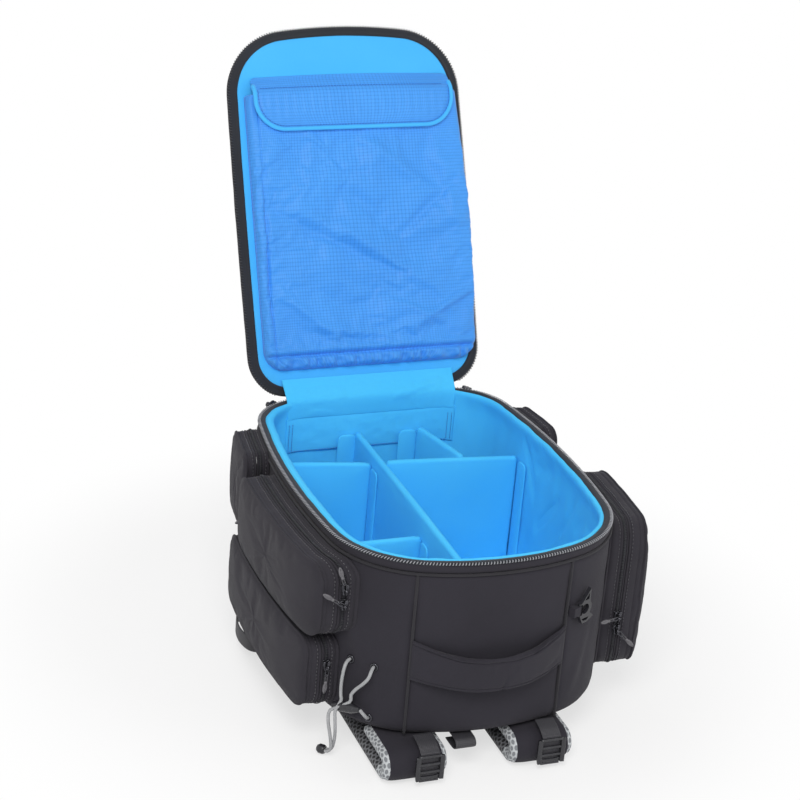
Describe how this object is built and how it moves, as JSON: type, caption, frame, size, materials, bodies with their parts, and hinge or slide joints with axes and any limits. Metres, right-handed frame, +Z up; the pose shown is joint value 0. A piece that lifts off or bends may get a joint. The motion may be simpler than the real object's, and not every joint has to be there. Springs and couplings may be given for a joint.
{
  "type": "camera backpack",
  "caption": "Padded camera backpack on its back with the zipped lid open, padded dividers inside, zipped outside pockets, shoulder straps and a bungee holder",
  "frame": {"origin": "middle of the footprint of the open bag, on the floor it lies on", "axes": "+Z up off the floor, +Y from the grab-handle end to the hinged end, +X to the right seen from the grab-handle end"},
  "size_m": [0.46, 0.725, 0.7125],
  "materials": {
    "shell_cloth": "matte plain-weave nylon",
    "lining_cloth": "smooth woven lining with a soft nap",
    "ripstop_cloth": "thin nylon with a fine square rip-stop grid",
    "foam": "closed-cell foam, covered",
    "board": "stiffener sheet, covered",
    "piping": "corded edge binding",
    "zip_tape": "woven tape with moulded coil",
    "mesh_pad": "padded air mesh with light edging",
    "webbing": "ribbed webbing",
    "elastic": "round braided elastic",
    "buckle_plastic": "moulded acetal, glossy",
    "zip_metal": "dark plated zip hardware"
  },
  "bodies": {
    "bag": {"outer_shell": "shell_cloth", "wall_foam": "foam", "wall_lining": "lining_cloth", "back_board": "board", "rim_piping": "piping", "panel_piping": "piping", "body_zipper": "zip_tape", "hinge_gusset": "lining_cloth", "grab_handle": "shell_cloth", "ring_tab": "webbing", "eyelets": "zip_metal", "elastic_cord": "elastic", "cord_tail": "elastic", "cord_lock": "buckle_plastic", "cord_toggle": "buckle_plastic", "back_pad": "mesh_pad", "strap_root_left": "mesh_pad", "strap_root_right": "mesh_pad", "lower_web_left": "webbing", "lower_web_right": "webbing", "haul_loop": "webbing", "upper_pocket_base": "shell_cloth", "lower_pocket_base": "shell_cloth", "rear_left_pocket_base": "shell_cloth", "right_pocket_base": "shell_cloth", "rear_right_pocket_base": "shell_cloth"},
    "lid": {"lid_shell": "shell_cloth", "lid_foam": "foam", "lid_lining": "lining_cloth", "lid_zipper": "zip_tape", "lid_pocket": "ripstop_cloth"},
    "lid_flap_body": {"lid_flap": "ripstop_cloth"},
    "ring": {"accessory_ring": "buckle_plastic"},
    "lock_button": {"cord_lock_button": "buckle_plastic"},
    "strap_left": {"strap_pad_left": "mesh_pad"},
    "ladder_left": {"ladder_lock_left": "buckle_plastic", "lifter_web_left": "webbing"},
    "strap_right": {"strap_pad_right": "mesh_pad"},
    "ladder_right": {"ladder_lock_right": "buckle_plastic", "lifter_web_right": "webbing"},
    "main_slider_left_body": {"main_slider_left": "zip_metal"},
    "main_pull_left_body": {"main_pull_left": "zip_metal"},
    "main_slider_right_body": {"main_slider_right": "zip_metal"},
    "main_pull_right_body": {"main_pull_right": "zip_metal"},
    "upper_slider_top_body": {"upper_slider_top": "zip_metal"},
    "upper_slider_end_body": {"upper_slider_end": "zip_metal"},
    "lower_slider_body": {"lower_slider": "zip_metal"},
    "rear_left_slider_body": {"rear_left_slider": "zip_metal"},
    "right_slider_high_body": {"right_slider_high": "zip_metal"},
    "right_slider_low_body": {"right_slider_low": "zip_metal"},
    "upper_cover": {"upper_pocket_cover": "shell_cloth"},
    "lower_cover": {"lower_pocket_cover": "shell_cloth"},
    "rear_left_cover": {"rear_left_pocket_cover": "shell_cloth"},
    "right_cover": {"right_pocket_cover": "shell_cloth"},
    "rear_right_cover": {"rear_right_pocket_cover": "shell_cloth"},
    "divider_long_body": {"divider_long": "lining_cloth"},
    "divider_left_body": {"divider_left": "lining_cloth"},
    "divider_front_body": {"divider_front": "lining_cloth"},
    "divider_right_body": {"divider_right": "lining_cloth"},
    "divider_rear_body": {"divider_rear": "lining_cloth"}
  },
  "joints": [
    {"name": "lid_hinge", "type": "hinge", "parent": "bag", "child": "lid", "pos_m": [-0.004, 0.14703, 0.2764], "axis": [-1, 0, 0], "range_deg": [-115, 55]},
    {"name": "flap_hinge", "type": "hinge", "parent": "lid", "child": "lid_flap_body", "pos_m": [-0.004, 0.32027, 0.65241], "axis": [-1, 0, 0], "range_deg": [0, 130]},
    {"name": "ring_hinge", "type": "hinge", "parent": "bag", "child": "ring", "pos_m": [0.09883, -0.32034, 0.191], "axis": [0, 0, -1], "range_deg": [0, 80]},
    {"name": "lock_button_press", "type": "slide", "parent": "bag", "child": "lock_button", "axis": [0.561, -0.8013, 0.2079], "range_m": [0, 0.0035], "stiffness_N_per_m": 400, "springref_m": -0.001},
    {"name": "strap_left_swing", "type": "hinge", "parent": "bag", "child": "strap_left", "pos_m": [-0.102, -0.30497, 0.0005], "axis": [-1, 0, 0], "range_deg": [0, 90]},
    {"name": "ladder_left_tilt", "type": "hinge", "parent": "bag", "child": "ladder_left", "pos_m": [-0.088, -0.35337, 0.008], "axis": [1, 0, 0], "range_deg": [0, 20]},
    {"name": "strap_right_swing", "type": "hinge", "parent": "bag", "child": "strap_right", "pos_m": [0.058, -0.30497, 0.0005], "axis": [-1, 0, 0], "range_deg": [0, 90]},
    {"name": "ladder_right_tilt", "type": "hinge", "parent": "bag", "child": "ladder_right", "pos_m": [0.066, -0.35337, 0.008], "axis": [1, 0, 0], "range_deg": [0, 20]},
    {"name": "main_slider_left_travel", "type": "hinge", "parent": "bag", "child": "main_slider_left_body", "pos_m": [-0.09512, 0.06703, 0.271], "axis": [0, 0, 1], "range_deg": [0, 30]},
    {"name": "main_pull_left_swing", "type": "hinge", "parent": "main_slider_left_body", "child": "main_pull_left_body", "pos_m": [-0.14359, 0.14167, 0.271], "axis": [0.8387, 0.5446, 0], "range_deg": [0, 120]},
    {"name": "main_slider_right_travel", "type": "hinge", "parent": "bag", "child": "main_slider_right_body", "pos_m": [0.08712, 0.06703, 0.271], "axis": [0, 0, -1], "range_deg": [0, 30]},
    {"name": "main_pull_right_swing", "type": "hinge", "parent": "main_slider_right_body", "child": "main_pull_right_body", "pos_m": [0.13559, 0.14167, 0.271], "axis": [0.8387, -0.5446, 0], "range_deg": [0, 120]},
    {"name": "upper_slider_top_travel", "type": "slide", "parent": "bag", "child": "upper_slider_top_body", "axis": [0, 0, 1], "range_m": [-0.003, 0]},
    {"name": "upper_slider_end_travel", "type": "slide", "parent": "bag", "child": "upper_slider_end_body", "axis": [0, 0, 1], "range_m": [-0.017, 0.003]},
    {"name": "lower_slider_travel", "type": "slide", "parent": "bag", "child": "lower_slider_body", "axis": [0, 0, 1], "range_m": [-0.01, 0.006]},
    {"name": "rear_left_slider_travel", "type": "slide", "parent": "bag", "child": "rear_left_slider_body", "axis": [0, 0, 1], "range_m": [-0.006, 0.05]},
    {"name": "right_slider_high_travel", "type": "slide", "parent": "bag", "child": "right_slider_high_body", "axis": [0, 0, 1], "range_m": [-0.002, 0.072]},
    {"name": "right_slider_low_travel", "type": "slide", "parent": "bag", "child": "right_slider_low_body", "axis": [0, 0, 1], "range_m": [-0.02, 0.002]},
    {"name": "upper_cover_fold", "type": "hinge", "parent": "bag", "child": "upper_cover", "pos_m": [-0.23, -0.14397, 0.162], "axis": [0, -1, 0], "range_deg": [0, 70]},
    {"name": "lower_cover_fold", "type": "hinge", "parent": "bag", "child": "lower_cover", "pos_m": [-0.227, -0.10997, 0.056], "axis": [0, -1, 0], "range_deg": [0, 70]},
    {"name": "rear_left_cover_fold", "type": "hinge", "parent": "bag", "child": "rear_left_cover", "pos_m": [-0.2161, 0.04653, 0.16], "axis": [0, -1, 0], "range_deg": [0, 70]},
    {"name": "right_cover_fold", "type": "hinge", "parent": "bag", "child": "right_cover", "pos_m": [0.23, -0.16547, 0.059], "axis": [0, 1, 0], "range_deg": [0, 70]},
    {"name": "rear_right_cover_fold", "type": "hinge", "parent": "bag", "child": "rear_right_cover", "pos_m": [0.2081, 0.04653, 0.16], "axis": [0, 1, 0], "range_deg": [0, 70]},
    {"name": "divider_long_lift", "type": "slide", "parent": "bag", "child": "divider_long_body", "axis": [0, 0, 1], "range_m": [0, 0.2]},
    {"name": "divider_left_lift", "type": "slide", "parent": "bag", "child": "divider_left_body", "axis": [0, 0, 1], "range_m": [0, 0.2]},
    {"name": "divider_front_lift", "type": "slide", "parent": "bag", "child": "divider_front_body", "axis": [0, 0, 1], "range_m": [0, 0.2]},
    {"name": "divider_right_lift", "type": "slide", "parent": "bag", "child": "divider_right_body", "axis": [0, 0, 1], "range_m": [0, 0.2]},
    {"name": "divider_rear_lift", "type": "slide", "parent": "bag", "child": "divider_rear_body", "axis": [0, 0, 1], "range_m": [0, 0.2]}
  ]
}
